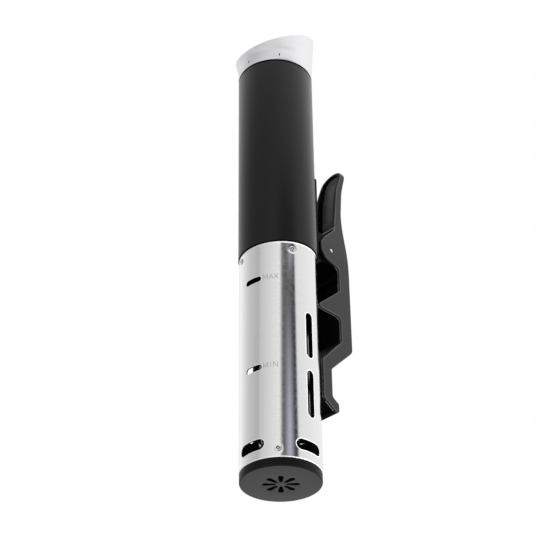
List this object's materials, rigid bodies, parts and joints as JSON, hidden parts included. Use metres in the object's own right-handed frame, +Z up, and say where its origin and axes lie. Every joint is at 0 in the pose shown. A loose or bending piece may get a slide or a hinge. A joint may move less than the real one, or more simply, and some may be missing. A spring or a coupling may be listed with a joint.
{
  "type": "sous vide circulator",
  "caption": "Immersion circulator stick: slotted steel heater skirt, matt grip sleeve with a slanted display collar, and a sprung lever clip that holds it to a pot wall.",
  "frame": {"origin": "centre of the end cap's flat underside", "axes": "+Z up the stick to the display, +Y to the pot clip, -Y to the side the display leans towards"},
  "size_m": [0.0662, 0.1041, 0.4203],
  "materials": {
    "skirt_steel": "fine vertical brushing",
    "cap_plastic": "matt, finely grained",
    "sleeve_plastic": "soft-touch matt",
    "collar_metal": "satin, brushed round",
    "clip_plastic": "matt, finely grained",
    "bracket_plastic": "matt",
    "bright_steel": "polished",
    "machined_steel": "turned",
    "spring_steel": "drawn wire",
    "black_rubber": "matt",
    "impeller_plastic": "satin",
    "bush_bronze": "sintered",
    "inner_plastic": "natural nylon",
    "motor_can": "zinc grey",
    "board_laminate": "green resist",
    "part_plastic": "moulded",
    "part_aluminium": "plain",
    "lens_black": "polished, back printed"
  },
  "bodies": {
    "housing": {"end_cap": "cap_plastic", "lower_bush": "bush_bronze", "skirt_tube": "skirt_steel", "cap_screws": "bright_steel", "skirt_screws": "bright_steel", "joint_gasket": "black_rubber", "bulkhead": "inner_plastic", "bulkhead_oring": "black_rubber", "shaft_seal": "black_rubber", "shaft_bearing": "machined_steel", "heater_left": "bright_steel", "heater_right": "bright_steel", "temperature_probe": "bright_steel", "level_electrodes": "bright_steel", "motor": "motor_can", "motor_mount": "inner_plastic", "mount_screws": "machined_steel", "grip_sleeve": "sleeve_plastic", "inner_frame": "inner_plastic", "power_board": "board_laminate", "board_capacitor": "part_aluminium", "board_transformer": "part_plastic", "board_relay": "part_plastic", "heat_sink": "part_aluminium", "top_collar": "collar_metal", "lens_seal": "black_rubber", "display_lens": "lens_black", "display_frame": "inner_plastic", "display_board": "board_laminate", "digit_module": "part_plastic", "buzzer": "part_plastic", "cord_gland": "black_rubber", "clip_bracket": "bracket_plastic", "bracket_screws": "bright_steel", "clip_pin": "bright_steel", "clip_spring": "spring_steel"},
    "rotor": {"drive_shaft": "machined_steel", "impeller": "impeller_plastic", "shaft_coupling": "machined_steel", "motor_shaft": "machined_steel"},
    "clip_lever": {"clip_lever": "clip_plastic", "jaw_pad": "black_rubber"}
  },
  "joints": [
    {"name": "clip_hinge", "type": "hinge", "parent": "housing", "child": "clip_lever", "pos_m": [0, 0.04585, 0.2148], "axis": [1, 0, 0], "range_deg": [0, 15], "stiffness_Nm_per_rad": 0.8, "springref_deg": -34.38, "deforming": ["clip_spring"]},
    {"name": "rotor_spin", "type": "hinge", "parent": "housing", "child": "rotor", "pos_m": [0, 0, 0], "axis": [0, 0, 1], "continuous": true}
  ]
}
